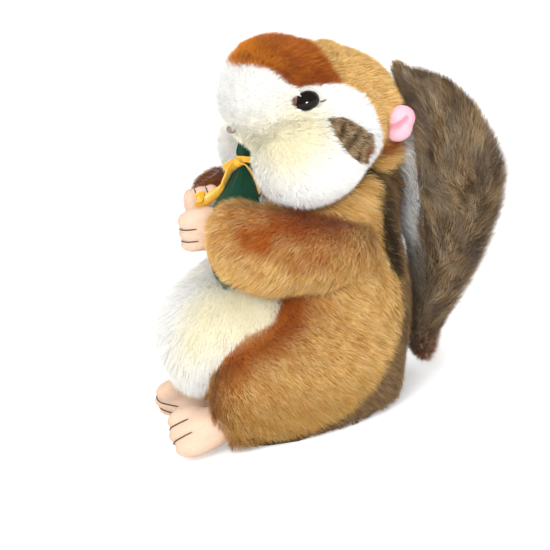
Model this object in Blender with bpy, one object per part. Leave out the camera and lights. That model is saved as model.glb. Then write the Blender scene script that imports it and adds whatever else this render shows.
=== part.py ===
"""A plush squirrel that sits upright and holds a small felt pouch tied with a ribbon.

Metres, +Z up. It looks along -Y, its left side is +X, and the origin is the middle of its seat.
Each sewn panel, paw, ear and trim is one closed solid of cloth and stuffing.
"""

import math
from collections import namedtuple

import bmesh
import bpy
import numpy as np
from mathutils import Matrix, Vector

# Sitting height of the toy. The forms below are drawn for a height of 0.178.
HEIGHT = 0.178
SIZE = HEIGHT / 0.178

# Clearances
SEAM = 0.0003           # between two sewn panels
PRESS = 0.0004          # between a held or laid thing and what it presses on

# Driving dimensions of the stance
PANEL_DEPTH = 0.003     # thickness of the seat panel
NECK_Y = 0.042          # the head turns about the upright line through here
HEAD_TURN = 12          # degrees to the toy's left
ARM_RISE = 0.003        # the right arm is held this much higher than the left

# A lump is an ellipsoid; tilt turns it about X, in degrees. Lumps melt into one stuffed form.
Lump = namedtuple("Lump", "centre radii tilt", defaults=(0,))

# Torso and legs
HEART = (0, 0.015, 0.045)
TORSO = Lump((0, 0.027, 0.062), (0.037, 0.037, 0.047))
UPPER_BACK = Lump((0, 0.038, 0.094), (0.032, 0.030, 0.027))
HIPS = Lump((0, 0.015, 0.030), (0.043, 0.041, 0.033))
THIGH = Lump((0.027, 0.000, 0.021), (0.017, 0.0475, 0.0335))
SEAT = Lump((0, 0.006, 0.012), (0.036, 0.036, 0.014))
BELLY = Lump((0, -0.015, 0.046), (0.036, 0.042, 0.0355))
CHEST = Lump((0, 0.004, 0.084), (0.027, 0.024, 0.033))
BODY_BLEND = 0.0035

# Head, with y measured from the neck's upright line
SKULL = Lump((0, -0.003, 0.137), (0.033, 0.0305, 0.038), 45)
CROWN = Lump((0, 0.005, 0.1365), (0.029, 0.0298, 0.0262))
BROW = Lump((0, -0.019, 0.158), (0.026, 0.020, 0.0195))
MUZZLE = Lump((0, -0.026, 0.151), (0.025, 0.020, 0.020))
CHEEK = Lump((0.022, -0.018, 0.1245), (0.020, 0.0255, 0.0215))
HEAD_BLEND = 0.0022

# Lines of the head panels, seen from the side, from the front to the back
CAP_LINE = ((-0.060, 0.174), (-0.034, 0.172), (-0.0285, 0.1722), (-0.024, 0.170),
            (-0.0205, 0.166), (-0.018, 0.1622), (-0.0145, 0.1597), (-0.008, 0.1588),
            (0.0055, 0.1545))
CAP_BACK = ((0.008, 0.159), (0.006, 0.167), (0.003, 0.176), (0.002, 0.200))
FACE_BACK = ((0.012, 0.1505), (0.016, 0.145), (0.0182, 0.136), (0.0188, 0.126), (0.0160, 0.119),
             (0.009, 0.113), (0.004, 0.106), (0.005, 0.090))
PATCH_LINE = ((-0.007, 0.1435), (0.001, 0.141), (0.0065, 0.1345), (0.0125, 0.127), (0.0128, 0.120),
              (0.004, 0.1150), (0.000, 0.122), (-0.005, 0.129), (-0.0075, 0.136))
PATCH_DEPTH_X = 0.019

# Small features of the head
EYE = Lump((0.0268, -0.0142, 0.1510), (0.0050, 0.0056, 0.0045))
EYELID = Lump((0.0262, -0.0196, 0.1523), (0.0026, 0.0026, 0.0022))
NOSE = Lump((0, -0.0434, 0.1420), (0.0030, 0.0024, 0.0020))
EAR_RIM = Lump((0.0250, 0.0278, 0.1289), (0.0056, 0.0070, 0.0060), -20)
EAR_LOBE = Lump((0.0255, 0.0258, 0.1232), (0.0056, 0.0062, 0.0046), 15)
EAR_ROOT = Lump((0.0190, 0.0246, 0.1256), (0.0070, 0.0058, 0.0056))

# Left arm from wrist to shoulder; the right arm mirrors it
ARM = (Lump((0.024, -0.010, 0.094), (0.014, 0.017, 0.020)),
       Lump((0.031, 0.005, 0.088), (0.015, 0.020, 0.021)),
       Lump((0.033, 0.022, 0.082), (0.015, 0.021, 0.018)),
       Lump((0.031, 0.036, 0.079), (0.013, 0.015, 0.015)))
ARM_BLEND = 0.002

# Paws: a palm and three fingers, forward on the left paw and upward on the right
LEFT_PALM = Lump((0.011, -0.023, 0.101), (0.0085, 0.0090, 0.0095))
LEFT_FINGER = Lump((0.010, -0.0275, 0.101), (0.0080, 0.0080, 0.0040))
LEFT_FINGER_STEP = (0, 0.0006, 0.0057)
RIGHT_PALM = Lump((-0.0095, -0.0185, 0.101), (0.0080, 0.0095, 0.0105))
RIGHT_FINGER = Lump((-0.009, -0.0198, 0.1075), (0.0075, 0.0038, 0.0068))
RIGHT_FINGER_STEP = (0, 0.0053, -0.0004)
PAW_BLEND = 0.0006

# Feet: a sole and three toes in a row that leans outward and down
SOLE = Lump((0.026, -0.0465, 0.0128), (0.0105, 0.0140, 0.0098))
TOE = Lump((0.0255, -0.0548, 0.0135), (0.0062, 0.0095, 0.0054))
TOE_STEP = (0.0045, 0.0012, -0.0054)
FOOT_BLEND = 0.0008

# Stripes sewn into the back, one at each side of the spine
STRIPE_X = (0.010, 0.0225)
STRIPE_Z = (0.014, 0.112)
STRIPE_FRONT_Y = (0.035, 0.050)

# Tail stations: height, middle, half depth, half width
TAIL = ((0.0080, 0.0630, 0.0035, 0.0045), (0.0140, 0.0630, 0.0070, 0.0085),
        (0.0250, 0.0662, 0.0102, 0.0120), (0.0360, 0.0717, 0.0132, 0.0150),
        (0.0470, 0.0790, 0.0160, 0.0175), (0.0600, 0.0848, 0.0185, 0.0190),
        (0.0730, 0.0892, 0.0212, 0.0200), (0.0860, 0.0930, 0.0225, 0.0205),
        (0.1000, 0.0945, 0.0213, 0.0200), (0.1130, 0.0946, 0.0181, 0.0190),
        (0.1240, 0.0940, 0.0152, 0.0170), (0.1340, 0.0904, 0.0119, 0.0140),
        (0.1420, 0.0842, 0.0067, 0.0100), (0.1480, 0.0820, 0.0040, 0.0050))
TAIL_SEGMENTS = 20
TAIL_FRONT_DEPTH = 0.0040
TUFTS = 5
TUFT_DEPTH = 0.045

# Pouch from its foot to the rim of its gathered ruff: place along the axis, radius
POUCH_FOOT = (0.0220, -0.0190, 0.0740)
POUCH_NECK = (0.0005, 0.0030, 0.1235)
RUFF_TIP = (-0.0010, 0.0065, 0.1340)
POUCH_PROFILE = ((0.00, 0.0045), (0.07, 0.0085), (0.22, 0.0125), (0.42, 0.0140), (0.60, 0.0130),
                 (0.76, 0.0092), (0.90, 0.0052), (1.00, 0.0034))
RUFF_PROFILE = ((0.30, 0.0047), (1.00, 0.0030))
POUCH_SEGMENTS = 18
POUCH_FOLDS = 6
FOLD_DEPTH = 0.12

# Ribbon: a band round the pouch's neck, a knot at its left front, two tails and a folded end
RIBBON_WIDTH = 0.0042
RIBBON_THICKNESS = 0.0007
BAND_RADIUS = 0.0047
BAND_WIDTH = 0.0028
KNOT = Lump((0.0042, -0.0010, 0.1246), (0.0026, 0.0026, 0.0023))
FRONT_TAIL = ((0.0040, -0.0008, 0.1246), (0.0056, -0.0050, 0.1232), (0.0074, -0.0090, 0.1188),
              (0.0082, -0.0116, 0.1156), (0.0092, -0.0164, 0.1146), (0.0094, -0.0212, 0.1132))
SIDE_TAIL = ((0.0042, -0.0008, 0.1244), (0.0070, 0.0018, 0.1230), (0.0100, 0.0036, 0.1192),
             (0.0124, 0.0042, 0.1150), (0.0146, 0.0040, 0.1106))
FOLDED_END = ((0.0040, -0.0012, 0.1248), (0.0042, -0.0046, 0.1262), (0.0040, -0.0086, 0.1264))
FACING_SIDE = (0, 0.4, 0.9)


def clear_scene():
    """Remove every object that the scene starts with."""
    for thing in list(bpy.data.objects):
        bpy.data.objects.remove(thing, do_unlink=True)


def cloth(name, colour, roughness=0.9):
    """A plain Principled material for one sort of cloth or trim."""
    made = bpy.data.materials.new(name)
    made.use_nodes = True
    shader = made.node_tree.nodes["Principled BSDF"]
    shader.inputs["Base Color"].default_value = (*colour, 1)
    shader.inputs["Roughness"].default_value = roughness
    return made


def tilt_matrix(degrees):
    """Rows turn a point into the axes of a lump tilted about X."""
    turn = math.radians(degrees)
    return np.array(((1, 0, 0),
                     (0, math.cos(turn), math.sin(turn)),
                     (0, -math.sin(turn), math.cos(turn))))


def distance(points, lumps, blend):
    """Rough distance from each point to the melted lumps, below zero inside."""
    total = np.zeros(len(points))
    for lump in lumps:
        local = (points - np.array(lump.centre)) @ tilt_matrix(lump.tilt).T
        radii = np.array(lump.radii)
        reach = np.linalg.norm(local / radii, axis=1) + 1e-9
        slope = np.linalg.norm(local / radii ** 2, axis=1) + 1e-9
        total += np.exp(-reach * (reach - 1) / slope / blend)
    return -blend * np.log(total)


def surface_radii(directions, heart, lumps, blend, grow):
    """How far the melted form reaches from its heart along each direction."""
    steps = np.linspace(0.001, 0.131, 131)
    outer = np.full(len(directions), steps[-1])
    inner = np.zeros(len(directions))
    found = np.zeros(len(directions), bool)
    for far, near in zip(steps[:0:-1], steps[-2::-1]):
        inside = distance(heart + directions * near, lumps, blend) < grow
        first = inside & ~found
        outer[first] = far
        inner[first] = near
        found |= inside
    for _ in range(24):
        middle = (outer + inner) / 2
        inside = distance(heart + directions * middle[:, None], lumps, blend) < grow
        inner = np.where(inside, middle, inner)
        outer = np.where(inside, outer, middle)
    return (outer + inner) / 2


def add_object(name, mesh_maker, parent=None):
    """A new object from a bmesh, made to the toy's size and shaded smooth."""
    mesh = bpy.data.meshes.new(name)
    mesh_maker.transform(Matrix.Scale(SIZE, 4))
    bmesh.ops.triangulate(mesh_maker, faces=mesh_maker.faces, quad_method="FIXED")
    bmesh.ops.recalc_face_normals(mesh_maker, faces=mesh_maker.faces)
    mesh_maker.to_mesh(mesh)
    mesh_maker.free()
    mesh.shade_smooth()
    made = bpy.data.objects.new(name, mesh)
    bpy.context.collection.objects.link(made)
    made.parent = parent
    return made


def stuffed(name, lumps, heart, blend, detail, parent=None, grow=0.0):
    """A stuffed form: a globe whose points are pushed out to the melted lumps."""
    segments, rings = detail
    globe = bmesh.new()
    bmesh.ops.create_uvsphere(globe, u_segments=segments, v_segments=rings, radius=1)
    directions = np.array([point.co[:] for point in globe.verts])
    directions /= np.linalg.norm(directions, axis=1)[:, None]
    heart = np.array(heart, float)
    radii = surface_radii(directions, heart, lumps, blend, grow)
    for point, direction, radius in zip(globe.verts, directions, radii):
        place = heart + direction * radius
        point.co = (place[0], place[1], max(place[2], -grow))
    return add_object(name, globe, parent)


def prism(name, outline, x_low, x_high, parent=None):
    """A block whose side view is the outline (y, z), between two x values."""
    block = bmesh.new()
    ends = [[block.verts.new((x, y, z)) for y, z in outline] for x in (x_low, x_high)]
    block.faces.new(ends[0])
    block.faces.new(ends[1][::-1])
    count = len(outline)
    for index in range(count):
        after = (index + 1) % count
        block.faces.new((ends[0][index], ends[1][index], ends[1][after], ends[0][after]))
    return add_object(name, block, parent)


def skin_rings(name, rings, parent=None):
    """A closed solid through rings of points, with a flat cap at each end."""
    shell = bmesh.new()
    loops = [[shell.verts.new(point) for point in ring] for ring in rings]
    count = len(loops[0])
    for low, high in zip(loops, loops[1:]):
        for index in range(count):
            after = (index + 1) % count
            shell.faces.new((low[index], low[after], high[after], high[index]))
    for ring in (loops[0], loops[-1]):
        middle = sum((corner.co for corner in ring), Vector()) / count
        centre = shell.verts.new(middle)
        for index in range(count):
            shell.faces.new((ring[index], ring[(index + 1) % count], centre))
    return add_object(name, shell, parent)


def guide(thing):
    """Keep a cutter out of the part."""
    thing.hide_render = True
    thing.display_type = "WIRE"
    return thing


def carve(piece, *cutters, operation="DIFFERENCE"):
    """Cut each cutter from a piece, or keep only what lies inside it."""
    for cutter in cutters:
        step = piece.modifiers.new(operation.title() + " " + cutter.name, "BOOLEAN")
        step.operation = operation
        step.object = guide(cutter)
    return piece


def widened(outline, grow):
    """An outline moved outward by the clearance, for the panel beside it."""
    points = [Vector(point) for point in outline]
    count = len(points)
    area = sum(a.x * b.y - b.x * a.y for a, b in zip(points, points[1:] + points[:1]))
    side = 1 if area > 0 else -1
    moved = []
    for index, point in enumerate(points):
        before = (point - points[index - 1]).normalized()
        after = (points[(index + 1) % count] - point).normalized()
        across = Vector((before.y + after.y, -before.x - after.x)).normalized()
        spread = max(across.dot(Vector((after.y, -after.x))), 0.5)
        moved.append(tuple(point + across * side * grow / spread))
    return moved


def mirrored(lumps, rise=0.0):
    """The same lumps on the other side of the body."""
    return [Lump((-lump.centre[0], lump.centre[1], lump.centre[2] + rise), lump.radii, lump.tilt)
            for lump in lumps]


def row_of(lump, step, count=3):
    """Copies of a finger or toe, side by side about the middle one."""
    copies = []
    for index in range(count):
        offset = index - (count - 1) / 2
        place = [a + b * offset for a, b in zip(lump.centre, step)]
        place[1] = lump.centre[1] + step[1] * abs(offset) if step[0] else place[1]
        copies.append(Lump(tuple(place), lump.radii, lump.tilt))
    return copies


def pouch_stations(grow=0.0):
    """Centres and radii of the pouch, its gathered neck and its ruff, and the way it points."""
    foot, neck, tip = Vector(POUCH_FOOT), Vector(POUCH_NECK), Vector(RUFF_TIP)
    axis = (tip - foot).normalized()
    stations = [(foot.lerp(neck, place), radius) for place, radius in POUCH_PROFILE]
    stations += [(neck.lerp(tip, place), radius) for place, radius in RUFF_PROFILE]
    stations[0] = (stations[0][0] - axis * grow, stations[0][1])
    stations[-1] = (stations[-1][0] + axis * grow, stations[-1][1])
    return stations, axis


def pleated_rings(grow=0.0):
    """Rings across the pouch's axis, with folds that deepen towards the neck."""
    stations, axis = pouch_stations(grow)
    across = axis.cross(Vector((1, 0, 0))).normalized()
    beside = axis.cross(across).normalized()
    rings = []
    for centre, radius in stations:
        depth = FOLD_DEPTH * max(0.0, 1 - radius / 0.0125)
        ring = []
        for index in range(POUCH_SEGMENTS):
            turn = 2 * math.pi * index / POUCH_SEGMENTS
            reach = radius * (1 + depth * math.cos(POUCH_FOLDS * turn)) + grow
            ring.append(centre + across * math.cos(turn) * reach + beside * math.sin(turn) * reach)
        rings.append(ring)
    return rings


def build_tail_rings(grow=0.0):
    """Rings of the tail, with long shallow tufts that run along it."""
    rings = []
    for height, middle, depth, width in TAIL:
        ring = []
        for index in range(TAIL_SEGMENTS):
            turn = 2 * math.pi * index / TAIL_SEGMENTS
            tuft = 1 + TUFT_DEPTH * math.sin(TUFTS * turn + 90 * height) + grow / width
            ring.append(Vector((width * tuft * math.sin(turn),
                                middle + depth * tuft * math.cos(turn), height)))
        rings.append(ring)
    return rings


def tail_front_outline():
    """Side view of the strip along the tail's front, a fixed depth into the tail."""
    front = [(middle - depth - 0.004, height) for height, middle, depth, _ in TAIL]
    inner = [(middle - depth + TAIL_FRONT_DEPTH, height) for height, middle, depth, _ in TAIL]
    inner[0] = (inner[0][0], inner[0][1] - 0.004)
    front[0] = (front[0][0], front[0][1] - 0.004)
    inner[-1] = (inner[-1][0], inner[-1][1] + 0.004)
    front[-1] = (front[-1][0], front[-1][1] + 0.004)
    return front + inner[::-1]


def ribbon_strip(name, path, width, across):
    """A thin flat band along a path, as wide as given in the direction across."""
    points = [Vector(point) for point in path]
    across = Vector(across)
    rings = []
    for index, point in enumerate(points):
        ahead = points[min(index + 1, len(points) - 1)] - points[max(index - 1, 0)]
        ahead.normalize()
        side = (across - ahead * across.dot(ahead)).normalized() * width / 2
        thin = ahead.cross(side).normalized() * RIBBON_THICKNESS / 2
        rings.append([point - side - thin, point + side - thin,
                      point + side + thin, point - side + thin])
    return skin_rings(name, rings)


def ribbon_band(name):
    """The flat ring of ribbon that closes the pouch's neck."""
    _, axis = pouch_stations()
    ring_maker = bmesh.new()
    half = BAND_WIDTH / 2
    corners = [(BAND_RADIUS, -half), (BAND_RADIUS + RIBBON_THICKNESS, -half),
               (BAND_RADIUS + RIBBON_THICKNESS, half), (BAND_RADIUS, half)]
    loop = [ring_maker.verts.new((radius, 0, height)) for radius, height in corners]
    edges = [ring_maker.edges.new((a, b)) for a, b in zip(loop, loop[1:] + loop[:1])]
    bmesh.ops.spin(ring_maker, geom=loop + edges, cent=(0, 0, 0), axis=(0, 0, 1),
                   angle=2 * math.pi, steps=10, use_merge=True)
    bmesh.ops.remove_doubles(ring_maker, verts=ring_maker.verts, dist=1e-6)
    turn = Vector((0, 0, 1)).rotation_difference(axis).to_matrix().to_4x4()
    ring_maker.transform(Matrix.Translation(POUCH_NECK) @ turn)
    return add_object(name, ring_maker)


def build_ribbon(colour):
    """One length of satin ribbon: band, knot, two tails and a folded end, tied together."""
    ribbon = ribbon_band("ribbon")
    ribbon.data.materials.append(colour)
    knot = stuffed("ribbon_knot", [KNOT], KNOT.centre, 0.001, (8, 6))
    front = ribbon_strip("ribbon_front_tail", FRONT_TAIL, RIBBON_WIDTH, FACING_SIDE)
    beside = ribbon_strip("ribbon_side_tail", SIDE_TAIL, RIBBON_WIDTH * 0.8, (1, 0.2, 0))
    folded = ribbon_strip("ribbon_folded_end", FOLDED_END, RIBBON_WIDTH * 0.7, FACING_SIDE)
    return carve(ribbon, knot, front, beside, folded, operation="UNION")


def sided(lump, sign):
    """A lump of the left side, or its copy on the right where sign is -1."""
    return Lump((lump.centre[0] * sign, *lump.centre[1:]), lump.radii, lump.tilt)


def body_form(name, grow=0.0):
    """The torso and both thighs, melted into one."""
    lumps = [TORSO, UPPER_BACK, HIPS, SEAT, THIGH, *mirrored([THIGH])]
    return stuffed(name, lumps, HEART, BODY_BLEND, (24, 16), grow=grow)


def belly_form(name, grow=0.0):
    """The belly and chest, melted into one."""
    return stuffed(name, [BELLY, CHEST], BELLY.centre, BODY_BLEND, (18, 12), grow=grow)


def head_form(name, neck, grow=0.0):
    """The whole head with both cheeks."""
    lumps = [SKULL, CROWN, BROW, MUZZLE, CHEEK, *mirrored([CHEEK])]
    return stuffed(name, lumps, SKULL.centre, HEAD_BLEND, (26, 16), neck, grow)


def dressed(piece, colour):
    """The piece with its material."""
    piece.data.materials.append(colour)
    return piece


def add_neck():
    """The upright line that the head turns about."""
    neck = bpy.data.objects.new("neck", None)
    bpy.context.collection.objects.link(neck)
    neck.location = (0, NECK_Y * SIZE, 0)
    neck.rotation_euler = (0, 0, math.radians(HEAD_TURN))
    return neck


def build_seat():
    """The flat panel under the toy. Returns the room it needs in the body."""
    outline = ((-0.2, -0.01), (0.2, -0.01), (0.2, PANEL_DEPTH), (-0.2, PANEL_DEPTH))
    block = prism("seat_block", outline, -0.1, 0.1)
    dressed(carve(body_form("seat_panel"), block, operation="INTERSECT"),
            cloth("seat cloth", (0.03, 0.015, 0.007)))
    return prism("seat_room", widened(outline, SEAM), -0.11, 0.11)


def build_stripes(head_room):
    """The dark stripes down the back. Returns the rooms they need in the body."""
    low_z, high_z = STRIPE_Z
    outline = ((STRIPE_FRONT_Y[0], low_z), (0.083, low_z + 0.0005), (0.084, high_z),
               (STRIPE_FRONT_Y[1], high_z))
    dark = cloth("dark plush", (0.03, 0.015, 0.007))
    rooms = []
    for side, sign in (("left", 1), ("right", -1)):
        low, high = sorted(sign * x for x in STRIPE_X)
        block = prism("stripe_block_" + side, outline, low, high)
        rooms.append(prism("stripe_room_" + side, widened(outline, SEAM), low - SEAM, high + SEAM))
        stripe = carve(body_form("back_stripe_" + side), block, operation="INTERSECT")
        dressed(carve(stripe, head_room), dark)
    return rooms


def build_body(head_room, pouch_room):
    """Body, seat panel and back stripes."""
    seat_room = build_seat()
    stripe_rooms = build_stripes(head_room)
    body = carve(body_form("body"), head_room, seat_room, *stripe_rooms, pouch_room)
    dressed(body, cloth("golden plush", (0.45, 0.25, 0.07)))


def build_arms(rooms, skin):
    """Both arms and the paws sewn into their ends."""
    rust = cloth("arm plush", (0.26, 0.08, 0.01))
    left_paw = [LEFT_PALM, *row_of(LEFT_FINGER, LEFT_FINGER_STEP)]
    right_paw = [RIGHT_PALM, *row_of(RIGHT_FINGER, RIGHT_FINGER_STEP)]
    for side, arm_lumps, lumps in (("left", ARM, left_paw),
                                   ("right", mirrored(ARM, ARM_RISE), right_paw)):
        heart = lumps[0].centre
        paw_room = stuffed("paw_room_" + side, lumps, heart, PAW_BLEND, (12, 10), grow=SEAM)
        arm = stuffed("arm_" + side, arm_lumps, arm_lumps[1].centre, ARM_BLEND, (14, 12))
        carve(arm, paw_room, rooms["pouch"], rooms["body"], rooms["belly"], rooms["head"])
        dressed(arm, rust)
        paw = stuffed("paw_" + side, lumps, heart, PAW_BLEND, (12, 10))
        dressed(carve(paw, rooms["pouch"], rooms["belly"]), skin)


def build_feet(rooms, skin):
    """Both feet, sewn to the front of the body."""
    left_foot = [SOLE, *row_of(TOE, TOE_STEP)]
    for side, lumps in (("left", left_foot), ("right", mirrored(left_foot))):
        foot = stuffed("foot_" + side, lumps, lumps[0].centre, FOOT_BLEND, (14, 10))
        dressed(carve(foot, rooms["body"], rooms["belly"]), skin)


def build_cheek(side, sign, neck, cream, dark):
    """A puffed cheek and the dark patch behind it. Returns their rooms in the head."""
    lump = sided(CHEEK, sign)
    block, cheek_room = (stuffed(name + side, [lump], lump.centre, 0.001, (12, 9), neck, grow)
                         for name, grow in (("cheek_block_", 0.0012),
                                            ("cheek_room_", 0.0012 + SEAM)))
    low, high = sorted((sign * PATCH_DEPTH_X, sign * 0.055))
    patch_block = prism("patch_block_" + side, PATCH_LINE, low, high, neck)
    patch_room = prism("patch_room_" + side, widened(PATCH_LINE, SEAM), low - SEAM, high + SEAM,
                       neck)
    cheek = carve(head_form("cheek_" + side, neck), block, operation="INTERSECT")
    dressed(carve(cheek, patch_room), cream)
    patch = head_form("cheek_patch_" + side, neck)
    dressed(carve(patch, patch_block, operation="INTERSECT"), dark)
    return cheek_room, patch_room


def build_eye(side, sign, neck, bead, lid):
    """A bead and the felt lid in front of it. Returns their rooms in the face."""
    eye_lump, lid_lump = sided(EYE, sign), sided(EYELID, sign)
    dressed(stuffed("eye_" + side, [eye_lump], eye_lump.centre, 0.001, (8, 6), neck), bead)
    eye_room = stuffed("eye_room_" + side, [eye_lump], eye_lump.centre, 0.001, (8, 6), neck, SEAM)
    lid_room = stuffed("eyelid_room_" + side, [lid_lump], lid_lump.centre, 0.001, (8, 6), neck,
                       SEAM)
    eyelid = stuffed("eyelid_" + side, [lid_lump], lid_lump.centre, 0.001, (8, 6), neck)
    dressed(carve(eyelid, eye_room), lid)
    return eye_room, lid_room


def build_ear(side, sign, neck, pink):
    """A folded ear. Returns its room in the head."""
    lumps = [sided(lump, sign) for lump in (EAR_RIM, EAR_LOBE, EAR_ROOT)]
    heart = Vector(lumps[0].centre).lerp(Vector(lumps[1].centre), 0.5)
    dressed(stuffed("ear_" + side, lumps, heart, 0.0006, (10, 8), neck), pink)
    return stuffed("ear_room_" + side, lumps, heart, 0.0006, (10, 8), neck, SEAM)


def build_nose(neck, lid):
    """A small stitched nose. Returns its room in the face."""
    dressed(stuffed("nose", [NOSE], NOSE.centre, 0.001, (8, 6), neck), lid)
    return stuffed("nose_room", [NOSE], NOSE.centre, 0.001, (8, 6), neck, SEAM)


def build_head(neck):
    """The head's sewn panels, cheeks, eyes, ears and nose."""
    cream = cloth("cream plush", (0.84, 0.81, 0.66))
    patch_plush = cloth("patch plush", (0.05, 0.03, 0.015))
    pink = cloth("pink pile", (0.86, 0.55, 0.60))
    bead = cloth("black bead", (0.004, 0.003, 0.003), 0.08)
    lid = cloth("eyelid felt", (0.30, 0.13, 0.11))
    cap_outline = CAP_LINE + CAP_BACK + ((-0.060, 0.200),)
    face_outline = ((-0.070, 0.080),) + CAP_LINE + FACE_BACK + ((0.005, 0.080),)
    cap_room = prism("cap_room", widened(cap_outline, SEAM), -0.06, 0.06, neck)
    face_room = prism("face_room", widened(face_outline, SEAM), -0.06, 0.06, neck)
    cap_block = prism("cap_block", cap_outline, -0.055, 0.055, neck)
    face_block = prism("face_block", face_outline, -0.055, 0.055, neck)

    face_rooms = [cap_room, build_nose(neck, lid)]
    back_rooms = [cap_room, face_room]
    for side, sign in (("left", 1), ("right", -1)):
        cheek_rooms = build_cheek(side, sign, neck, cream, patch_plush)
        face_rooms += [*cheek_rooms, *build_eye(side, sign, neck, bead, lid)]
        back_rooms += [*cheek_rooms, build_ear(side, sign, neck, pink)]

    face = carve(head_form("face", neck), face_block, operation="INTERSECT")
    dressed(carve(face, *face_rooms), cloth("white face plush", (0.86, 0.85, 0.80)))
    cap = carve(head_form("forehead_cap", neck), cap_block, operation="INTERSECT")
    dressed(cap, cloth("rust plush", (0.26, 0.08, 0.01)))
    crown = carve(head_form("head_back", neck), *back_rooms)
    dressed(crown, cloth("head plush", (0.45, 0.25, 0.07)))


def build_tail(rooms):
    """The bushy tail and the pale strip along its front."""
    outline = tail_front_outline()
    block = prism("tail_block", outline, -0.03, 0.03)
    room = prism("tail_room", widened(outline, SEAM), -0.031, 0.031)
    front = carve(skin_rings("tail_front", build_tail_rings()), block, operation="INTERSECT")
    dressed(carve(front, rooms["body"], rooms["head"]), cloth("tail front plush", (0.7, 0.68, 0.6)))
    back = carve(skin_rings("tail_back", build_tail_rings()), room, rooms["body"], rooms["head"])
    dressed(back, cloth("grey brown plush", (0.16, 0.11, 0.06)))


def main():
    clear_scene()
    neck = add_neck()
    rooms = {"body": body_form("body_room", SEAM), "belly": belly_form("belly_room", SEAM),
             "head": head_form("head_room", neck, SEAM),
             "pouch": skin_rings("pouch_room", pleated_rings(PRESS))}
    pouch = carve(skin_rings("pouch", pleated_rings()), rooms["head"])
    dressed(pouch, cloth("green felt", (0.004, 0.055, 0.028)))
    ribbon = build_ribbon(cloth("yellow satin", (0.80, 0.45, 0.03), 0.4))
    carve(ribbon, rooms["head"], rooms["pouch"], rooms["belly"])
    build_body(rooms["head"], rooms["pouch"])
    belly = carve(belly_form("belly_panel"), rooms["body"], rooms["head"], rooms["pouch"])
    dressed(belly, cloth("white belly plush", (0.86, 0.85, 0.80)))
    skin = cloth("short pile", (0.76, 0.60, 0.49))
    build_arms(rooms, skin)
    build_feet(rooms, skin)
    build_head(neck)
    build_tail(rooms)


main()
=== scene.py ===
"""Looks of the plush squirrel: fur, short pile, felt, satin ribbon and stitching on the frame.

Metres, +Z up. The toy looks along -Y and its left side is +X. Each sewn panel becomes a backing
cloth with tapered strands standing on it, and the bare trims are smooth forms of their own.
"""

import math
from collections import namedtuple

import bmesh
import bpy
import numpy as np
from mathutils import Matrix, Vector
from mathutils.bvhtree import BVHTree
from mathutils.kdtree import KDTree


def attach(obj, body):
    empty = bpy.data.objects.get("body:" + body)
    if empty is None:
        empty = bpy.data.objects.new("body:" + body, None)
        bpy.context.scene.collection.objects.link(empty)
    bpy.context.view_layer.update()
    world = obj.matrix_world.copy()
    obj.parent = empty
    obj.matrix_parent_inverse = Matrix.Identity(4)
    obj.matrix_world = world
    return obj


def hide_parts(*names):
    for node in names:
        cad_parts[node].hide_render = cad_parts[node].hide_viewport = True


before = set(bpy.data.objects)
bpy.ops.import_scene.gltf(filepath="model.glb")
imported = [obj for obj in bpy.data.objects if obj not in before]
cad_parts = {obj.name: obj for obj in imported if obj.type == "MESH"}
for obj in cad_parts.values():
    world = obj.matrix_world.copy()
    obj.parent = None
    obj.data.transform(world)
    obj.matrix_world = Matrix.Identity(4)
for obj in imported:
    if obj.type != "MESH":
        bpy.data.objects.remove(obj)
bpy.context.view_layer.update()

MM = 0.001
NECK = np.array((0, 0.042, 0))
HEAD_TURN = math.radians(12)
HEAD_AXES = np.array(((math.cos(HEAD_TURN), -math.sin(HEAD_TURN), 0),
                      (math.sin(HEAD_TURN), math.cos(HEAD_TURN), 0), (0, 0, 1)))
HEAD_NODES = ("face", "forehead_cap", "head_back", "cheek_left", "cheek_right",
              "cheek_patch_left", "cheek_patch_right")

# A lump is an ellipsoid; tilt turns it about X, in degrees. Lumps melt into one stuffed form.
Lump = namedtuple("Lump", "centre radii tilt", defaults=(0,))

# One sort of fur. Lengths in metres, density in strands per square metre.
Coat = namedtuple("Coat", "length sink density lean frizz width clump pull contrast flow colour "
                  "growth", defaults=(None,))

# A closed solid of the frame, with what the fur needs to know about it
Solid = namedtuple("Solid", "name points faces tree hidden areas normals")

# Small forms of the frame that are made again with more detail
EYE = Lump((0.0268, -0.0146, 0.1509), (0.0050, 0.0061, 0.0046))
EYELID = Lump((0.0262, -0.0196, 0.1523), (0.0026, 0.0026, 0.0022))
NOSE = Lump((0, -0.0434, 0.1420), (0.0030, 0.0024, 0.0020))
EAR = (Lump((0.0250, 0.0278, 0.1289), (0.0056, 0.0070, 0.0060), -20),
       Lump((0.0255, 0.0258, 0.1232), (0.0056, 0.0062, 0.0046), 15),
       Lump((0.0190, 0.0246, 0.1256), (0.0070, 0.0058, 0.0056)))
EAR_CREASE = ((0.0190, 0.1262), (0.0235, 0.1268), (0.0290, 0.1290))
LEFT_PALM = Lump((0.011, -0.023, 0.101), (0.0085, 0.0090, 0.0095))
LEFT_FINGER = Lump((0.010, -0.0275, 0.101), (0.0080, 0.0080, 0.0040))
LEFT_FINGER_STEP = (0, 0.0006, 0.0057)
RIGHT_PALM = Lump((-0.0095, -0.0185, 0.101), (0.0080, 0.0095, 0.0105))
RIGHT_FINGER = Lump((-0.009, -0.0198, 0.1075), (0.0075, 0.0038, 0.0068))
RIGHT_FINGER_STEP = (0, 0.0053, -0.0004)
SOLE = Lump((0.026, -0.0465, 0.0128), (0.0105, 0.0140, 0.0098))
TOE = Lump((0.0255, -0.0548, 0.0135), (0.0062, 0.0095, 0.0054))
TOE_STEP = (0.0045, 0.0012, -0.0054)

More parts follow.
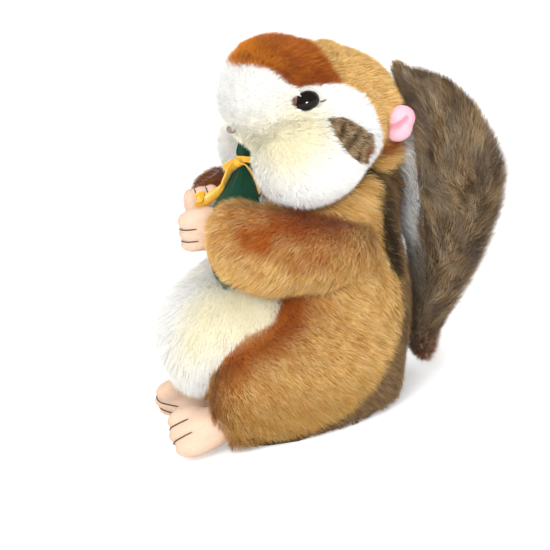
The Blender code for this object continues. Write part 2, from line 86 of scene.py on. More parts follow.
# Pouch and ribbon
POUCH_FOOT = (0.0220, -0.0190, 0.0740)
POUCH_NECK = (0.0005, 0.0030, 0.1235)
RUFF_TIP = (-0.0010, 0.0065, 0.1340)
POUCH_PROFILE = ((0.00, 0.0045), (0.07, 0.0085), (0.22, 0.0125), (0.42, 0.0140), (0.60, 0.0130),
                 (0.76, 0.0092), (0.90, 0.0052), (1.00, 0.0034))
RUFF_PROFILE = ((0.30, 0.0047), (1.00, 0.0030))
POUCH_FOLDS = 6
RIBBON_WIDTH = 0.0048
RIBBON_THICKNESS = 0.0005
BAND_RADIUS = 0.0047
BAND_WIDTH = 0.0028
KNOT = Lump((0.0042, -0.0010, 0.1246), (0.0026, 0.0026, 0.0023))
FRONT_TAIL = ((.0040, -.0008, .1246), (.0056, -.0050, .1232), (.0074, -.0090, .1188),
              (.0082, -.0116, .1156), (.0092, -.0164, .1142), (.0098, -.0212, .1128),
              (.0110, -.0236, .1140), (.0112, -.0222, .1160), (.0104, -.0200, .1152))
SIDE_TAIL = ((.0042, -.0008, .1244), (.0070, .0018, .1230), (.0100, .0036, .1192),
             (.0124, .0042, .1150), (.0146, .0040, .1106))
FOLDED_END = ((.0040, -.0012, .1248), (.0044, -.0046, .1250), (.0044, -.0082, .1238))
FACING_SIDE = (0, 0.4, 0.9)

# Where the fur changes colour, seen from the side, as (y, z) points at the tips of the fur
CAP_LINE = ((-0.060, 0.1740), (-0.0353, 0.1725), (-0.0301, 0.1723), (-0.0248, 0.1689),
            (-0.0220, 0.1647), (-0.0196, 0.1610), (-0.0152, 0.1578), (-0.0130, 0.1580),
            (-0.0038, 0.1564), (0.0047, 0.1539), (0.0300, 0.1500))
CAP_BACK = ((0.0000, 0.1900), (0.0040, 0.1685), (0.0045, 0.1539), (0.0060, 0.1200))
FACE_BACK = ((0.0030, 0.1900), (0.0047, 0.1539), (0.0133, 0.1461), (0.0159, 0.1364),
             (0.0178, 0.1254), (0.0163, 0.1191), (0.0090, 0.1080))
PATCH = ((-0.0081, 0.1426), (-0.0013, 0.1405), (0.0051, 0.1345), (0.0114, 0.1275),
         (0.0125, 0.1195), (0.0060, 0.1145), (0.0005, 0.1176), (-0.0027, 0.1215),
         (-0.0063, 0.1275), (-0.0087, 0.1348))
THIGH_EDGE = ((0.0040, 0.0900), (0.0020, 0.0680), (0.0007, 0.0616), (-0.0052, 0.0552),
              (-0.0192, 0.0526), (-0.0312, 0.0452), (-0.0392, 0.0351), (-0.0445, 0.0200),
              (-0.0500, 0.0000))
THIGH_RUST = ((0.0080, 0.0640), (0.0010, 0.0560), (-0.0110, 0.0475), (-0.0220, 0.0450),
              (-0.0300, 0.0390))
# Below this line the low back and bottom rim are dark: partly the base cloth's brown, partly a
# painted contact shadow
LOW_BACK_AND_SHADOW = ((0.0575, 0.0500), (0.0564, 0.0427), (0.0488, 0.0280), (0.0334, 0.0143),
            (0.0185, 0.0054), (-0.0020, 0.0010), (-0.0400, 0.0000))
# Behind this line the dark back stripe reaches the back's outline, where it is partly painted
# shade between back and tail
STRIPE_AND_SHADE_EDGE = ((0.0640, 0.1180), (0.0600, 0.1005), (0.0565, 0.0925), (0.0542, 0.0835),
             (0.0520, 0.0755), (0.0530, 0.0667), (0.0560, 0.0577), (0.0600, 0.0480))
STRIPE_X = (0.0175, 0.0265)

# Camera
AZIMUTH = math.radians(85)
ELEVATION = math.radians(18)
ROLL = math.radians(14)
TARGET = (0.0200, 0.0016, 0.0733)
DISTANCE = 1.5
FRAME_WIDTH = 0.25
TOWARDS_CAMERA = (math.sin(AZIMUTH) * math.cos(ELEVATION),
                  -math.cos(AZIMUTH) * math.cos(ELEVATION), math.sin(ELEVATION))

# Sides that face away from the camera, past this cosine, have fewer and wider strands.
FAR_COSINE = -0.30
FAR_SHARE = 0.30
FAR_WIDENING = 1.8

# How far out a face or a strand's place is tested for a neighbour, and how much deeper the
# backing lies beside a bead, paw or knot
FACE_TEST = 0.7 * MM
STRAND_TEST = 0.8 * MM
EXTRA_DEPTH = 1.8 * MM

# How softly the lumps melt together
PAW_BLEND = 0.0013
FOOT_BLEND = 0.0008
EAR_BLEND = 0.0006
BEAD_BLEND = 0.001

# Seeds; each furred panel takes the next one after the first
SEEDS = {"paw": 31, "foot": 32, "ear": 33, "pouch": 34, "first_panel": 100}


def tone(red, green, blue):
    """Linear colour from values of 0 to 255 as a screen shows them."""
    shown = np.array((red, green, blue)) / 255
    return np.where(shown <= 0.04045, shown / 12.92, ((shown + 0.055) / 1.055) ** 2.4)


STRAW = tone(252, 230, 176)
GOLD_LIGHT = tone(243, 208, 136)
GOLD = tone(222, 174, 90)
GOLD_DEEP = tone(180, 126, 52)
OLIVE_GOLD = tone(170, 132, 58)
AMBER = tone(224, 142, 34)
RUST = tone(188, 102, 32)
RUST_DEEP = tone(150, 72, 20)
RUST_DARK = tone(134, 68, 24)
WHITE = tone(254, 254, 252)
CREAM = tone(250, 244, 218)
SHADE_WHITE = tone(246, 245, 242)
# A grey of painted shade, for the far cheek
PAINTED_SHADE_GREY = tone(214, 214, 214)
UMBER = tone(44, 29, 19)
BROWN = tone(116, 88, 58)
TAN = tone(184, 150, 104)
BEIGE = tone(222, 200, 162)
ASH = tone(146, 134, 118)
FAWN = tone(220, 190, 166)
PINK = tone(240, 182, 194)
SHADED_PINK = tone(226, 140, 158)


def unit(vectors):
    """Each row scaled to length one."""
    return vectors / np.maximum(np.linalg.norm(vectors, axis=-1, keepdims=True), 1e-12)


def soft_step(values, low, high):
    """Smooth rise from 0 at low to 1 at high."""
    share = np.clip((values - low) / (high - low), 0, 1)
    return share * share * (3 - 2 * share)


def repeated(row, points):
    """The same row for each point."""
    return np.tile(row, (len(points), 1))


def mix(first, second, share):
    """Colours between first and second, row by row."""
    share = np.clip(np.asarray(share), 0, 1)[:, None]
    return first * (1 - share) + second * share


def mottle(points, size, seed):
    """Smooth random values, mostly from -1 to 1, in patches about as wide as size."""
    rng = np.random.default_rng(seed)
    waves = unit(rng.normal(0, 1, (10, 3))) * 2 * math.pi / size
    waves *= rng.uniform(0.6, 1.5, (10, 1))
    phases = rng.uniform(0, 2 * math.pi, 10)
    return np.sin(points @ waves.T + phases).sum(axis=1) / 10 ** 0.5


def segment_gaps(points, line):
    """For each segment of a line of (y, z) points, each point's distance and its side."""
    flat = points[:, 1:]
    for start, end in zip(np.array(line[:-1]), np.array(line[1:])):
        along = end - start
        share = np.clip((flat - start) @ along / (along @ along), 0, 1)
        gap = np.linalg.norm(flat - start - share[:, None] * along, axis=1)
        yield gap, (flat - start)[:, 0] * along[1] - (flat - start)[:, 1] * along[0]


def ahead_of(points, line):
    """How far each point lies beyond a line, to the right of its run in side view."""
    nearest = np.full(len(points), np.inf)
    signed = np.zeros(len(points))
    for gap, side in segment_gaps(points, line):
        closer = gap < nearest
        signed[closer] = (np.sign(side) * gap)[closer]
        nearest = np.minimum(nearest, gap)
    return signed


def near_line(points, line, width):
    """From 1 on a line of (y, z) points to 0 well away from it, in side view."""
    distance = np.min([gap for gap, _ in segment_gaps(points, line)], axis=0)
    return np.exp(-(distance / width) ** 2)


def within(points, outline):
    """Which points lie inside a closed outline in side view."""
    flat = points[:, 1:]
    found = np.zeros(len(points), bool)
    for (y, z), (next_y, next_z) in zip(outline, outline[1:] + outline[:1]):
        crossing = (z > flat[:, 1]) != (next_z > flat[:, 1])
        reach = (next_y - y) * (flat[:, 1] - z) / (next_z - z + 1e-12) + y
        found ^= crossing & (flat[:, 0] < reach)
    return found


def to_head(points):
    """Points seen from the head, which is turned about the neck; y starts at the neck."""
    return (points - NECK) @ HEAD_AXES


def from_head(points):
    """Places of points that are given in the head's own axes."""
    return np.asarray(points) @ HEAD_AXES.T + NECK


# Solids of the frame

def arrays_of(maker):
    """Points and triangles of a bmesh, which is freed."""
    bmesh.ops.triangulate(maker, faces=maker.faces)
    points = np.array([corner.co[:] for corner in maker.verts])
    faces = np.array([[corner.index for corner in face.verts] for face in maker.faces])
    maker.free()
    return points, faces


def triangles_of(node):
    """Welded points and triangles of a node of the frame."""
    maker = bmesh.new()
    maker.from_mesh(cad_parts[node].data)
    bmesh.ops.remove_doubles(maker, verts=maker.verts, dist=1e-6)
    return arrays_of(maker)


def face_crosses(points, faces):
    """Normal of each triangle times twice its area."""
    corners = points[faces]
    return np.cross(corners[:, 1] - corners[:, 0], corners[:, 2] - corners[:, 0])


def smooth_normals(points, faces, crosses):
    """Normals at the points, from the faces round each of them."""
    normals = np.zeros_like(points)
    for corner in range(3):
        np.add.at(normals, faces[:, corner], crosses)
    return unit(normals)


def leaves_once_more(tree, point):
    """Whether a ray from the point crosses a closed solid an odd number of times."""
    ahead = Vector((0.318, 0.211, 0.924)).normalized()
    count = 0
    place, _, _, _ = tree.ray_cast(point, ahead)
    while place is not None and count < 30:
        count += 1
        place, _, _, _ = tree.ray_cast(place + ahead * 1e-6, ahead)
    return count % 2 == 1


def inside(mesh, points):
    """Which points lie inside a closed solid, given as its points, faces and tree."""
    corners, _, tree = mesh
    found = np.zeros(len(points), bool)
    boxed = (points > corners.min(axis=0)) & (points < corners.max(axis=0))
    near = np.flatnonzero(boxed.all(axis=1))
    for index in near:
        point = Vector(points[index])
        place, normal, _, _ = tree.find_nearest(point)
        found[index] = (point - place).dot(normal) < 0 and leaves_once_more(tree, point)
    return found


def covered(name, points, meshes):
    """Which points lie inside any other solid than the named one."""
    found = np.zeros(len(points), bool)
    for other, mesh in meshes.items():
        if other != name:
            found |= inside(mesh, points)
    return found


def read_solids():
    """Every node of the frame, with its outer faces and their smooth normals."""
    meshes = {}
    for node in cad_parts:
        points, faces = triangles_of(node)
        tree = BVHTree.FromPolygons(points.tolist(), faces.tolist())
        meshes[node] = (points, faces, tree)
    solids = {}
    for node, (points, faces, tree) in meshes.items():
        crosses = face_crosses(points, faces)
        middles = points[faces].mean(axis=1)
        outer = np.zeros(len(faces), bool)
        for place in (middles, *(middles * 0.3 + points[faces[:, k]] * 0.7 for k in range(3))):
            outer |= ~covered(node, place + unit(crosses) * FACE_TEST, meshes)
        weights = np.where(outer, 1, 0.001)[:, None]
        normals = smooth_normals(points, faces, crosses * weights)
        bare = np.ones(len(points), bool)
        bare[faces[outer]] = False
        areas = np.linalg.norm(crosses, axis=1) / 2
        solids[node] = Solid(node, points, faces, tree, bare, areas, normals)
    return solids, meshes


# Fur

def scatter(solid, density, rng):
    """Places on a solid's faces, rounded between their corners, with smooth normals."""
    count = int(solid.areas.sum() * density)
    picks = rng.choice(len(solid.areas), count, p=solid.areas / solid.areas.sum())
    weights = rng.dirichlet((1, 1, 1), count)[:, :, None]
    corners = solid.points[solid.faces[picks]]
    leans = solid.normals[solid.faces[picks]]
    flat = (weights * corners).sum(axis=1)
    rises = ((corners - flat[:, None]) * leans).sum(axis=2, keepdims=True)
    rounded = flat + 0.75 * (weights * rises * leans).sum(axis=1)
    return rounded, unit((weights * leans).sum(axis=1))


def clearing_share(points, clearings):
    """How much of its length a strand keeps near a bead, paw or knot that stays in view."""
    share = np.ones(len(points))
    for centre, radius, least in clearings:
        gap = np.linalg.norm(points - np.asarray(centre), axis=1) / radius
        share = np.minimum(share, least + (1 - least) * soft_step(gap, 0.8, 1.6))
    return share


def nearest_leader(points, leaders):
    """Index of the leader nearest to each point, from the points chosen as leaders."""
    tree = KDTree(len(leaders))
    for index in leaders:
        tree.insert(points[index], int(index))
    tree.balance()
    return np.array([tree.find(point)[1] for point in points])


def strands(places, normals, coat, shares, rng):
    """Root, bend and tip of each strand, the way that its width runs, and its leader."""
    count = len(places)
    flow = coat.flow(places)
    flow -= (flow * normals).sum(axis=1, keepdims=True) * normals
    flow = unit(flow) + rng.normal(0, coat.frizz, (count, 3))
    lengths = coat.length * rng.uniform(0.66, 1.16, count) * shares
    lean = coat.lean * rng.uniform(0.75, 1.15, (count, 1))
    start = unit(normals * (1 - lean * 0.5) + flow * lean * 0.5)
    end = unit(normals * (1 - lean) + flow * lean)
    roots = places - normals * (coat.sink + 0.5 * MM)
    bends = roots + start * lengths[:, None] * 0.5
    tips = bends + end * lengths[:, None] * 0.5
    leaders = rng.choice(count, max(1, count // coat.clump), replace=False)
    leader = nearest_leader(places, leaders)
    pull = coat.pull * rng.uniform(0.2, 1.0, (count, 1))
    tips += (tips[leader] + (places - places[leader]) * 0.25 - tips) * pull
    bends += (bends[leader] + (places - places[leader]) * 0.8 - bends) * pull * 0.5
    along = unit(tips - roots)
    side = unit(np.cross(along, normals))
    turn = rng.uniform(-0.5, 0.5, (count, 1))
    side = side * np.cos(turn) + np.cross(along, side) * np.sin(turn)
    return roots, bends, tips, side, leader


def add_object(name, data):
    """An object in the scene's collection."""
    made = bpy.data.objects.new(name, data)
    bpy.context.collection.objects.link(made)
    return made


def fill_mesh(name, points, faces, colours=1.0):
    """A smooth mesh object from arrays, with a colour at each point, or white."""
    mesh = bpy.data.meshes.new(name)
    mesh.vertices.add(len(points))
    mesh.vertices.foreach_set("co", points.astype(np.float32).ravel())
    mesh.loops.add(faces.size)
    mesh.loops.foreach_set("vertex_index", faces.astype(np.int32).ravel())
    mesh.polygons.add(len(faces))
    mesh.polygons.foreach_set("loop_start", np.arange(0, faces.size, 3, dtype=np.int32))
    mesh.update(calc_edges=True)
    mesh.shade_smooth()
    layer = mesh.color_attributes.new("pile_colour", "FLOAT_COLOR", "POINT")
    rgba = np.ones((len(points), 4), np.float32)
    rgba[:, :3] = np.clip(colours, 0, 1)
    layer.data.foreach_set("color", rgba.ravel())
    return add_object(name, mesh)


def strand_arrays(roots, bends, tips, side, widths, root_colours, tip_colours):
    """Four points and two triangles for each strand, widest at its bend."""
    half = side * widths[:, None] / 2
    points = np.stack((roots, bends - half, bends + half, tips), axis=1)
    points[:, :, 2] = np.maximum(points[:, :, 2], 0.3 * MM)
    middle = root_colours * 0.35 + tip_colours * 0.65
    colours = np.stack((root_colours, middle, middle, tip_colours), axis=1)
    first = np.arange(len(roots))[:, None, None] * 4
    faces = first + np.array(((0, 2, 1), (1, 2, 3)))
    return points.reshape(-1, 3), faces.reshape(-1, 3), colours.reshape(-1, 3)


def backing(solid, sink, clearings):
    """The cloth under the fur: the solid drawn in, deeper beside beads, with its seam walls."""
    depth = sink + EXTRA_DEPTH * (1 - clearing_share(solid.points, clearings))
    shift = -solid.normals * depth[:, None]
    outer = np.flatnonzero(~solid.hidden)
    if len(outer) < len(solid.points):
        shift = shift[nearest_leader(solid.points, outer)]
    shift[solid.points[:, 2] < 0.5 * MM] = 0
    return solid.points + shift


def furred(name, coat, finish, solids, meshes, clearings, seed, in_head=False):
    """A panel of plush that replaces its node."""
    rng = np.random.default_rng(seed)
    solid = solids[name]
    places, normals = scatter(solid, coat.density, rng)
    open_air = ~covered(name, places + normals * STRAND_TEST, meshes)
    near = normals @ np.array(TOWARDS_CAMERA) > FAR_COSINE
    open_air &= near | (rng.uniform(0, 1, len(places)) < FAR_SHARE)
    places, normals, near = places[open_air], normals[open_air], near[open_air]
    shares = clearing_share(places, clearings)
    if coat.growth:
        shares = shares * coat.growth(to_head(places) if in_head else places)
    roots, bends, tips, side, leader = strands(places, normals, coat, shares, rng)
    root_colours, tip_colours = coat.colour(to_head(tips) if in_head else tips, rng)
    shades = rng.normal(1, coat.contrast, (len(places), 1))[leader]
    shades = shades * rng.normal(1, coat.contrast * 0.7, (len(places), 1))
    widths = coat.width * rng.uniform(0.7, 1.3, len(places)) * np.where(near, 1, FAR_WIDENING)
    points, faces, colours = strand_arrays(roots, bends, tips, side, widths,
                                           root_colours * shades, tip_colours * shades)
    cloth_points = backing(solid, coat.sink, clearings)
    seen = to_head(solid.points) if in_head else solid.points
    cloth_colours = coat.colour(seen, rng)[0]
    made = fill_mesh(name + "_fur", np.vstack((cloth_points, points)),
                     np.vstack((solid.faces, faces + len(cloth_points))),
                     np.vstack((cloth_colours, colours)))
    made.data.materials.append(finish)
    return place_piece(made, name)


def place_piece(piece, *nodes, fill=0.7, padded=True):
    """The piece stands for its nodes and moves with the toy."""
    if nodes:
        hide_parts(*nodes)
    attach(piece, "root")
    return piece


def place_trim(piece, finish, *nodes):
    """A smooth trim without padding, with its finish."""
    piece.data.materials.append(finish)
    place_piece(piece, *nodes, padded=False)


# Which way the fur lies

def flow_head(points):
    """Back from the nose over the head."""
    return points - from_head([(0, -0.052, 0.146)])


def flow_cap(points):
    """Back over the forehead and down its sides."""
    flow = points - from_head([(0, -0.060, 0.168)])
    flow[:, 2] -= 0.010
    return flow


def flow_cheek(points):
    """Back and down from the middle of the muzzle."""
    flow = points - from_head([(0, -0.050, 0.150)])
    flow[:, 2] -= 0.012
    return flow


def flow_body(points):
    """Back and down over the flanks."""
    flow = repeated((0.0, 0.65, -0.75), points)
    flow[:, 0] = points[:, 0] * 6
    return flow


def flow_arm(points):
    """From the shoulder towards the paw."""
    return repeated((0.0, -0.80, -0.45), points)


def flow_belly(points):
    """Down the front, spreading to the sides."""
    flow = repeated((0.0, -0.25, -1.0), points)
    flow[:, 0] = points[:, 0] * 8
    return flow


def flow_down(points):
    """Straight down the back."""
    return repeated((0.0, 0.25, -1.0), points)


def flow_tail(points):
    """Up the tail, sweeping back low down and gathering at its top."""
    flow = repeated((0.0, 0.0, 1.0), points)
    low = soft_step(points[:, 2], 0.095, 0.020)
    flow[:, 1] = low * 0.9 - (1 - low) * 0.15
    flow[:, 0] = points[:, 0] * 8 * low
    flow += np.stack((mottle(points, 0.030, 5), mottle(points, 0.028, 6),
                      np.zeros(len(points))), axis=1) * 0.35
    return flow


def flow_front(points):
    """The belly's lie in front, and the body's lie where the panel runs under the thigh."""
    behind = soft_step(ahead_of(points, THIGH_EDGE), 0.002, -0.002)[:, None]
    return flow_belly(points) * (1 - behind) + flow_body(points) * behind


# How much longer the fur is in places

def grow_tail(points):
    """Full at the tail's back, short at its top and foot."""
    top = soft_step(points[:, 2], 0.112, 0.126) * soft_step(points[:, 1], 0.080, 0.090)
    tip = soft_step(points[:, 2], 0.138, 0.147)
    bulge = np.exp(-((points[:, 2] - 0.076) / 0.022) ** 2) * soft_step(points[:, 1], 0.085, 0.100)
    foot = soft_step(points[:, 2], 0.032, 0.018)
    return (1 - 0.18 * top + 0.12 * bulge - 0.35 * foot) * (1 - 0.5 * tip)


def grow_strip(points):
    """Longer where the tail stands off from the back."""
    return 1 + 0.9 * soft_step(points[:, 2], 0.058, 0.075) * soft_step(points[:, 2], 0.128, 0.112)


def grow_arm(points):
    """Longer under the front of the arm and round the shoulder."""
    front = soft_step(points[:, 1], 0.012, -0.010) * soft_step(points[:, 2], 0.088, 0.076)
    shoulder = soft_step(points[:, 1], 0.026, 0.042)
    return 1 + 0.40 * front + 0.30 * shoulder


def grow_nape(points):
    """Longer at the nape and in front of the ear."""
    nape = soft_step(points[:, 2], 0.124, 0.112)
    ear = near_line(points, ((0.018, 0.131), (0.024, 0.137)), 0.005)
    return 1 + 1.7 * nape + 0.8 * ear


def grow_back(points):
    """Longer between the shoulders."""
    high = soft_step(points[:, 2], 0.088, 0.100)
    return 1 + high * (0.35 + 0.65 * soft_step(points[:, 1], 0.036, 0.050))


def grow_front(points):
    """Short where the belly meets the thigh."""
    return 0.6 + 0.4 * soft_step(ahead_of(points, THIGH_EDGE), -0.001, 0.009)


# Colours of the fur, each as a root colour and a tip colour

def golden_fur(points, rng):
    """Straw, gold and a few deep hairs."""
    kind = 0.45 + 0.35 * mottle(points, 0.011, 2) + rng.normal(0, 0.28, len(points))
    tips = mix(GOLD_LIGHT, GOLD, kind)
    tips = mix(tips, STRAW, (rng.uniform(0, 1, len(points)) > 0.80) * 0.75)
    tips = mix(tips, GOLD_DEEP, (rng.uniform(0, 1, len(points)) > 0.84) * 0.7)
    return repeated(GOLD_DEEP, points), tips


def colour_body(points, rng):
    """Gold, with rust along the thigh's front edge, back stripes, partly painted shade where they
    reach the back's outline, and a dark low back, partly painted contact shadow.
    """
    roots, tips = golden_fur(points, rng)
    patches = mottle(points, 0.016, 1)
    rust = near_line(points, THIGH_RUST, 0.0070) * 0.95
    rust += 0.35 * near_line(points, ((0.006, 0.056), (0.018, 0.057)), 0.005)
    rust += np.clip(patches, 0, 1) * 0.20 + rng.normal(0, 0.08, len(points))
    rust *= soft_step(points[:, 1], 0.040, 0.030)
    toe_end = soft_step(points[:, 1], -0.034, -0.044)
    tips = mix(tips, OLIVE_GOLD, soft_step(points[:, 2], 0.034, 0.008) * 0.55)
    tips = mix(tips, RUST, rust)
    tips = mix(tips, mix(RUST, OLIVE_GOLD, np.full(len(points), 0.5)), toe_end * 0.75)
    roots = mix(roots, RUST_DEEP, rust + 0.15 + toe_end * 0.5)
    side = np.abs(points[:, 0])
    behind = soft_step(points[:, 1], 0.043, 0.049)
    tan = soft_step(side, STRIPE_X[0] + 0.001, STRIPE_X[0] - 0.001) * behind
    dark = soft_step(side, STRIPE_X[1] + 0.001, STRIPE_X[1] - 0.001) * behind
    # Partly painted shade: the stripe's dark carried out to the back's outline, between back and
    # tail
    dark = np.maximum(dark, soft_step(ahead_of(points, STRIPE_AND_SHADE_EDGE), 0.0008, -0.0008)
                      * soft_step(points[:, 2], 0.052, 0.062))
    # Partly painted contact shadow: the low back and bottom rim turn dark brown
    low = soft_step(ahead_of(points, LOW_BACK_AND_SHADOW), 0.0010, -0.0015)
    stray = rng.uniform(0, 1, len(points))
    umber = mix(UMBER, BROWN, stray * 0.25)
    tips = mix(tips, umber, dark * (0.97 - 0.5 * (stray > 0.95)))
    tips = mix(tips, mix(BROWN, TAN, stray), tan * 0.85)
    tips = mix(tips, mix(BROWN, TAN, (stray > 0.6) * 0.7), low * 0.95)
    roots = mix(roots, UMBER, np.maximum(dark, low))
    return mix(roots, BROWN, tan * (1 - low)), tips


def colour_arm(points, rng):
    """Rust along the middle of the arm in gold, with a painted shadow along its underside; the
    right arm is dark rust.
    """
    roots, tips = golden_fur(points, rng)
    middle = ((-0.008, 0.099), (0.002, 0.1013), (0.016, 0.1005), (0.030, 0.0985))
    rust = near_line(points, middle, 0.0100)
    rust += 0.55 * near_line(points, ((0.020, 0.108), (0.034, 0.103)), 0.006)
    # Painted shade: a soft shadow along the arm's underside, laid on as rust.
    rust += 0.50 * near_line(points, ((0.007, 0.084), (0.020, 0.083)), 0.005)
    noise = 0.20 * mottle(points, 0.010, 7) + rng.normal(0, 0.10, len(points))
    far = soft_step(points[:, 0], 0.004, -0.008)
    tips = mix(tips, RUST, rust * 0.95 + noise)
    tips = mix(tips, RUST_DARK, far * 0.9)
    return mix(mix(roots, RUST_DEEP, rust + 0.2), RUST_DARK, far), tips


def colour_front(points, rng):
    """White belly, cream beside the thighs; body colours where it runs under the thigh."""
    side = np.abs(points[:, 0])
    cream = soft_step(side, 0.012, 0.030) * soft_step(points[:, 2], 0.030, 0.060)
    noise = 0.15 * mottle(points, 0.015, 8)
    tips = mix(WHITE, CREAM, cream * 0.8 + noise + 0.15)
    roots = mix(SHADE_WHITE, CREAM, cream)
    body_roots, body_tips = colour_body(points, rng)
    behind = soft_step(ahead_of(points, THIGH_EDGE), 0.0006, -0.0006)
    return mix(roots, body_roots, behind), mix(tips, body_tips, behind)


def agouti_fur(points, rng):
    """Mixed brown and beige hairs."""
    kind = rng.uniform(0, 1, len(points)) + 0.25 * mottle(points, 0.005, 9)
    tips = mix(UMBER, TAN, kind * 1.2)
    tips = mix(tips, BEIGE, (kind > 0.78) * 0.8)
    warm = soft_step(points[:, 2], 0.126, 0.118) * soft_step(points[:, 1], 0.001, 0.008)
    tips = mix(tips, RUST_DEEP, warm * 0.6)
    return mix(UMBER, BROWN, kind), tips


def colour_head(points, rng):
    """White face, cream cheeks, amber to rust cap, brown cheek patch and golden back; the far
    cheek is greyed with painted shade.
    """
    cream = near_line(points, ((-0.033, 0.135), (-0.020, 0.141)), 0.012)
    tips = mix(WHITE, CREAM, cream * 1.1)
    roots = mix(SHADE_WHITE, CREAM, cream)
    # Painted shade: the lower part of the far cheek is greyed.
    far = soft_step(points[:, 0], -0.006, -0.014) * soft_step(points[:, 2], 0.142, 0.136)
    tips = mix(tips, PAINTED_SHADE_GREY, far * 0.8)
    patch = within(points, PATCH).astype(float)
    agouti_roots, agouti_tips = agouti_fur(points, rng)
    roots, tips = mix(roots, agouti_roots, patch), mix(tips, agouti_tips, patch)
    crown = soft_step(ahead_of(points, CAP_LINE), 0.0003, -0.0003)
    behind = soft_step(ahead_of(points, FACE_BACK), 0.0004, -0.0004) * (1 - patch)
    gold_roots, gold_tips = golden_fur(points, rng)
    under_ear = near_line(points, ((0.019, 0.1160), (0.031, 0.1175)), 0.004)
    gold_tips = mix(gold_tips, RUST_DEEP, under_ear * 1.1)
    golden = np.maximum(crown, behind)
    roots, tips = mix(roots, gold_roots, golden), mix(tips, gold_tips, golden)
    cap = crown * soft_step(ahead_of(points, CAP_BACK), -0.0012, 0.0012)
    cap_roots, cap_tips = cap_fur(points, rng)
    return mix(roots, cap_roots, cap), mix(tips, cap_tips, cap)


def cap_fur(points, rng):
    """Amber at the front of the forehead, rust behind it and darkest above the eye."""
    back = soft_step(points[:, 1], -0.031, -0.014)
    dark = near_line(points, ((-0.018, 0.163), (0.002, 0.157)), 0.007)
    noise = rng.normal(0, 0.10, len(points)) + 0.18 * mottle(points, 0.010, 4)
    tips = mix(AMBER, RUST, back * 0.85 + noise)
    tips = mix(tips, RUST_DEEP, dark * 0.85 + noise)
    return mix(RUST, RUST_DEEP, back + dark), tips


def colour_tail(points, rng):
    """Grey brown with light and dark tips in loose patches; warmer and darker at the foot, partly
    the brown of its underside and partly painted shade with a painted warm reflection.
    """
    squeezed = points * np.array((1, 1, 0.5))
    patches = mottle(squeezed, 0.006, 10) * 0.30 + mottle(squeezed, 0.016, 11) * 0.28
    kind = 0.58 + patches + rng.normal(0, 0.32, len(points))
    tips = mix(BROWN, TAN, kind * 1.3)
    tips = mix(tips, BEIGE, (kind - 0.72) * 2.2)
    tips = mix(tips, UMBER, (0.22 - kind) * 2.5)
    front = soft_step(points[:, 1] - 0.35 * points[:, 2], 0.062, 0.050)
    tips = mix(tips, ASH, np.clip(0.35 * front + mottle(squeezed, 0.014, 12) * 0.4, 0, 0.6))
    # Its foot: partly the underside's brown, partly painted shade and a painted warm reflection
    # near the base
    foot = soft_step(points[:, 2], 0.026, 0.012)
    tips = mix(tips, RUST_DEEP, foot * 0.6)
    return mix(mix(UMBER, BROWN, 0.3 + kind * 0.7), RUST_DARK, foot * 0.6), tips


def colour_tail_front(points, rng):
    """A white strip down the middle between agouti edges."""
    roots, tips = colour_tail(points, rng)
    wide = soft_step(points[:, 2], 0.060, 0.075) * 0.007
    strip = soft_step(np.abs(points[:, 0]) - wide, 0.0155, 0.0125)
    strip *= soft_step(points[:, 2], 0.128, 0.119) * soft_step(points[:, 2], 0.038, 0.055)
    return mix(roots, SHADE_WHITE, strip), mix(tips, WHITE, strip)


def colour_base_and_shadow(points, rng):
    """Dark brown cloth under the seat, standing partly for a painted contact shadow."""
    return repeated(UMBER, points), mix(UMBER, BROWN, rng.uniform(0, 0.8, len(points)))


def colour_paw(points, rng):
    """Pinkish beige short pile."""
    tips = mix(FAWN, WHITE, 0.05 + rng.uniform(0, 0.12, len(points)))
    return repeated(FAWN, points), tips


def colour_ear(points, rng):
    """Pink short pile, deepened in the fold with painted shade."""
    # Painted shade in the ear's crease
    fold = near_line(points, EAR_CREASE, 0.9 * MM)
    tips = mix(PINK, WHITE, rng.uniform(0, 0.08, len(points)))
    return mix(PINK, SHADED_PINK, fold), mix(tips, SHADED_PINK, fold * 0.8)


def colour_felt(points, rng):
    """Bottle green felt with a few blue fibres in it."""
    kind = rng.uniform(0, 1, len(points))
    tips = mix(tone(6, 70, 48), tone(14, 94, 64), kind)
    tips = mix(tips, tone(30, 60, 90), (kind > 0.95) * 0.6)
    return repeated(tone(5, 58, 40), points), tips


PER_MM2 = 1e6
LONG = Coat(length=6.1 * MM, sink=2.6 * MM, density=5.0 * PER_MM2, lean=0.66, frizz=0.20,
            width=0.17 * MM, clump=14, pull=0.34, contrast=0.065, flow=flow_body,
            colour=colour_body)
HAIR = LONG._replace(length=5.6 * MM, sink=2.2 * MM, density=6.0 * PER_MM2, flow=flow_head,
                     colour=colour_head)
WHITE_HAIR = HAIR._replace(length=4.1 * MM, sink=1.0 * MM, density=6.8 * PER_MM2, lean=0.58,
                           frizz=0.32, pull=0.12, width=0.20 * MM, contrast=0.02)
CHEEK_HAIR = WHITE_HAIR._replace(length=4.8 * MM, sink=1.3 * MM, lean=0.54, flow=flow_cheek)
TAIL_HAIR = LONG._replace(length=11.0 * MM, sink=4.2 * MM, density=5.2 * PER_MM2, lean=0.68,
                          frizz=0.26, clump=16, pull=0.40, contrast=0.16, flow=flow_tail,
                          colour=colour_tail, growth=grow_tail)
